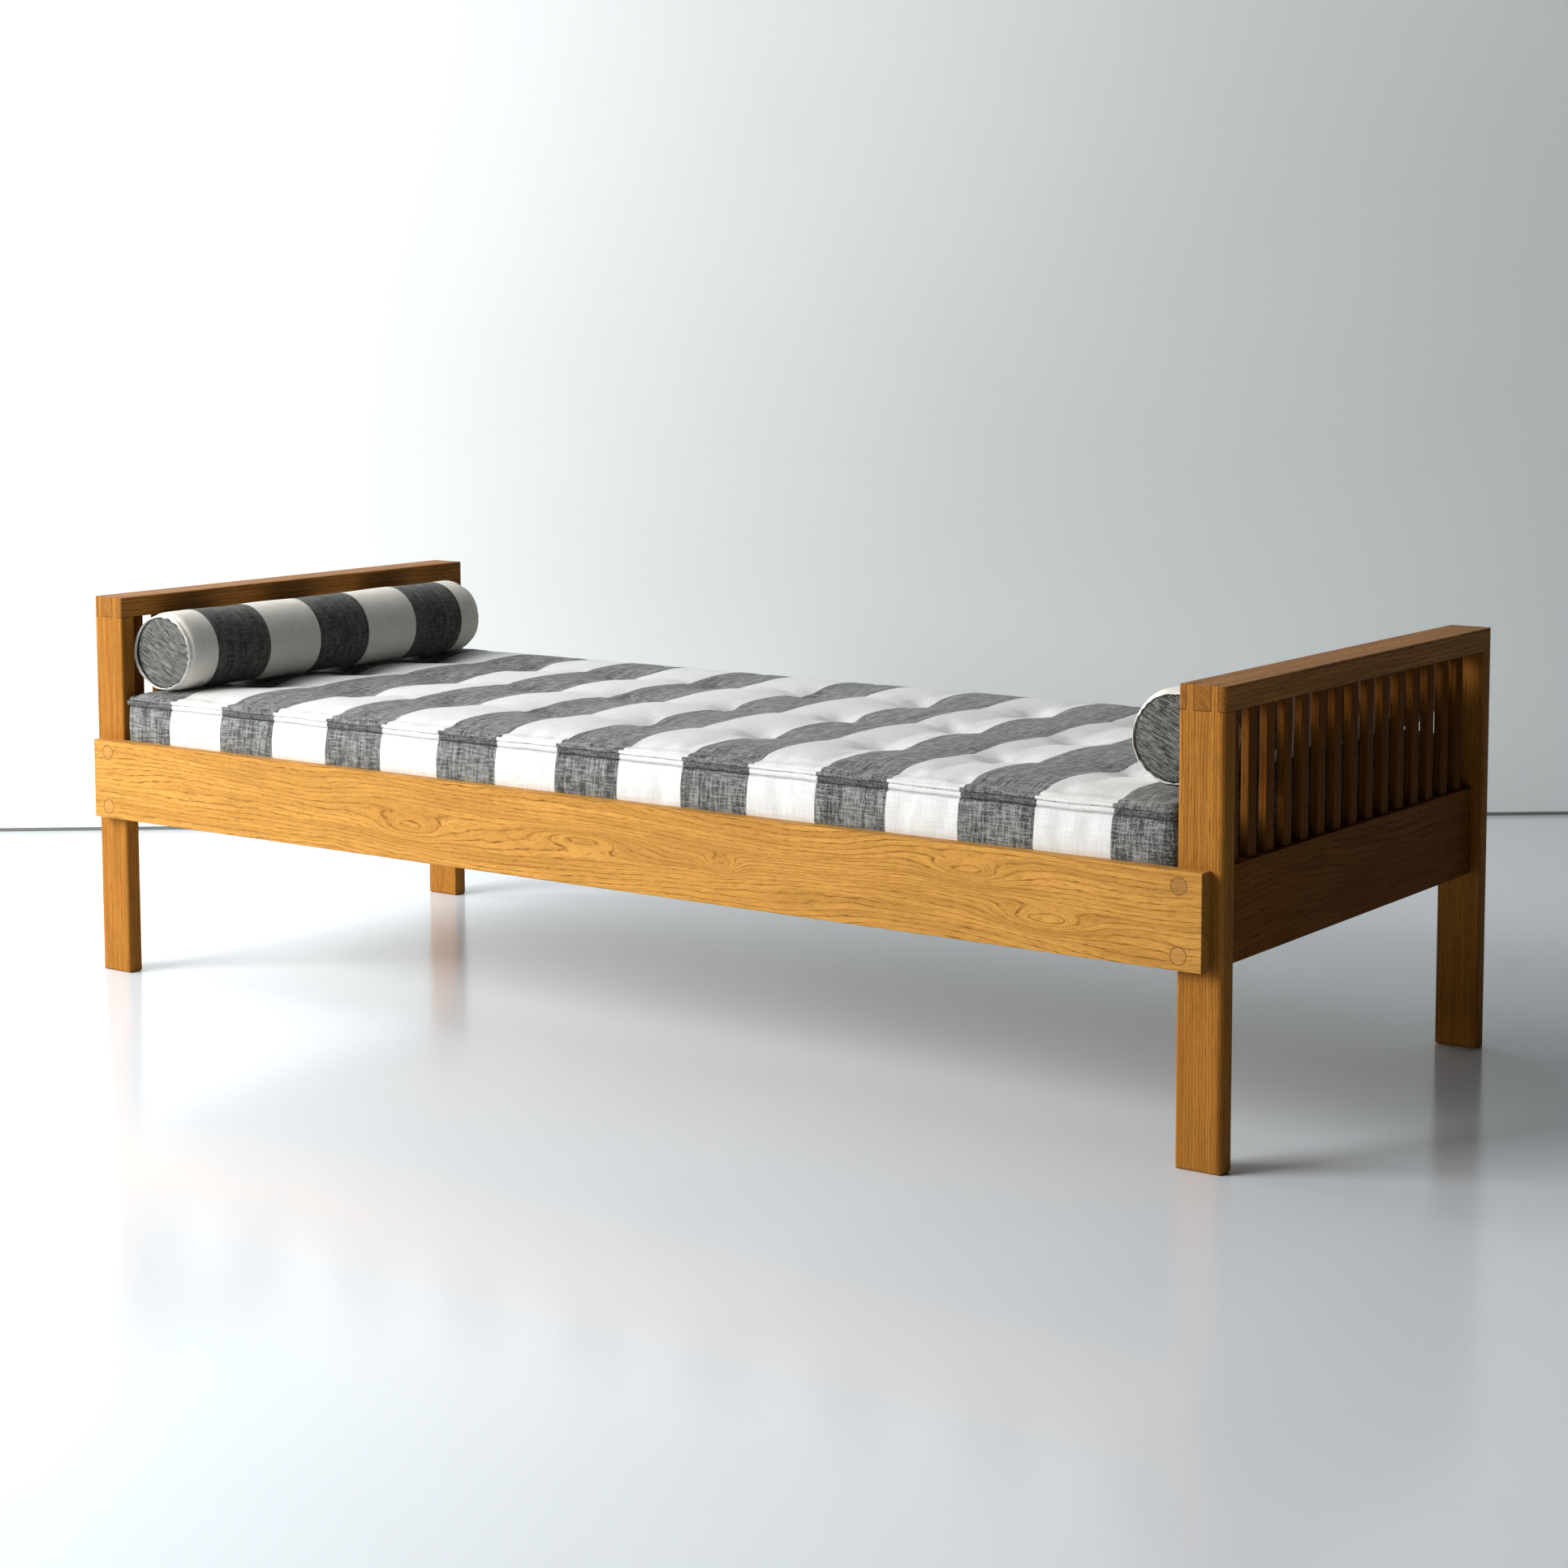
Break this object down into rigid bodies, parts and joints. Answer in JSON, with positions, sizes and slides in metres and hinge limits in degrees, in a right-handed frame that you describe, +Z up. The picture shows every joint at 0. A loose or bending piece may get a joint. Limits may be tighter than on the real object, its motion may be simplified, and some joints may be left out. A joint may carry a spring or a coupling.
{
  "type": "daybed",
  "caption": "Oak daybed with slatted end frames, plugged side rails, a striped tufted mattress on slats and a loose bolster at each end.",
  "frame": {"origin": "on the floor under the middle of the daybed", "axes": "+X along the bed to the foot end, +Z up, the front side rail at -Y"},
  "size_m": [2, 0.844, 0.6],
  "materials": {
    "oak": "satin oiled oak",
    "plug_wood": "satin oiled oak, end grain",
    "base_wood": "plain sawn hardwood",
    "steel": "zinc plated",
    "mattress_fabric": "matt woven stripe, charcoal melange and off-white",
    "bolster_fabric": "matt woven stripe, charcoal melange and off-white",
    "wadding": "soft fibre",
    "foam": "matt open-cell foam",
    "tie_cord": "twisted cord"
  },
  "bodies": {
    "frame": {"head_top_rail": "oak", "foot_top_rail": "oak", "head_front_post": "oak", "head_back_post": "oak", "foot_front_post": "oak", "foot_back_post": "oak", "head_board": "oak", "foot_board": "oak", "head_slat_01": "oak", "head_slat_02": "oak", "head_slat_03": "oak", "head_slat_04": "oak", "head_slat_05": "oak", "head_slat_06": "oak", "head_slat_07": "oak", "head_slat_08": "oak", "head_slat_09": "oak", "head_slat_10": "oak", "head_slat_11": "oak", "head_slat_12": "oak", "head_slat_13": "oak", "head_slat_14": "oak", "head_slat_15": "oak", "foot_slat_01": "oak", "foot_slat_02": "oak", "foot_slat_03": "oak", "foot_slat_04": "oak", "foot_slat_05": "oak", "foot_slat_06": "oak", "foot_slat_07": "oak", "foot_slat_08": "oak", "foot_slat_09": "oak", "foot_slat_10": "oak", "foot_slat_11": "oak", "foot_slat_12": "oak", "foot_slat_13": "oak", "foot_slat_14": "oak", "foot_slat_15": "oak", "front_side_rail": "oak", "back_side_rail": "oak", "front_ledger": "base_wood", "back_ledger": "base_wood", "bed_slats": "base_wood", "bolt_plugs": "plug_wood", "rail_bolts": "steel", "bolt_washers": "steel", "bolt_inserts": "steel", "ledger_screws": "steel", "bed_slat_screws": "steel"},
    "mattress": {"mattress_cover": "mattress_fabric", "mattress_wadding": "wadding", "mattress_core": "foam", "mattress_ties": "tie_cord"},
    "head_bolster": {"head_bolster_cover": "bolster_fabric", "head_bolster_core": "foam"},
    "foot_bolster": {"foot_bolster_cover": "bolster_fabric", "foot_bolster_core": "foam"}
  },
  "joints": [
    {"name": "mattress_lift", "type": "slide", "parent": "frame", "child": "mattress", "axis": [0, 0, 1], "range_m": [0, 0.3]},
    {"name": "head_bolster_lift", "type": "slide", "parent": "mattress", "child": "head_bolster", "axis": [0, 0, 1], "range_m": [0, 0.25]},
    {"name": "foot_bolster_lift", "type": "slide", "parent": "mattress", "child": "foot_bolster", "axis": [0, 0, 1], "range_m": [0, 0.25]}
  ]
}
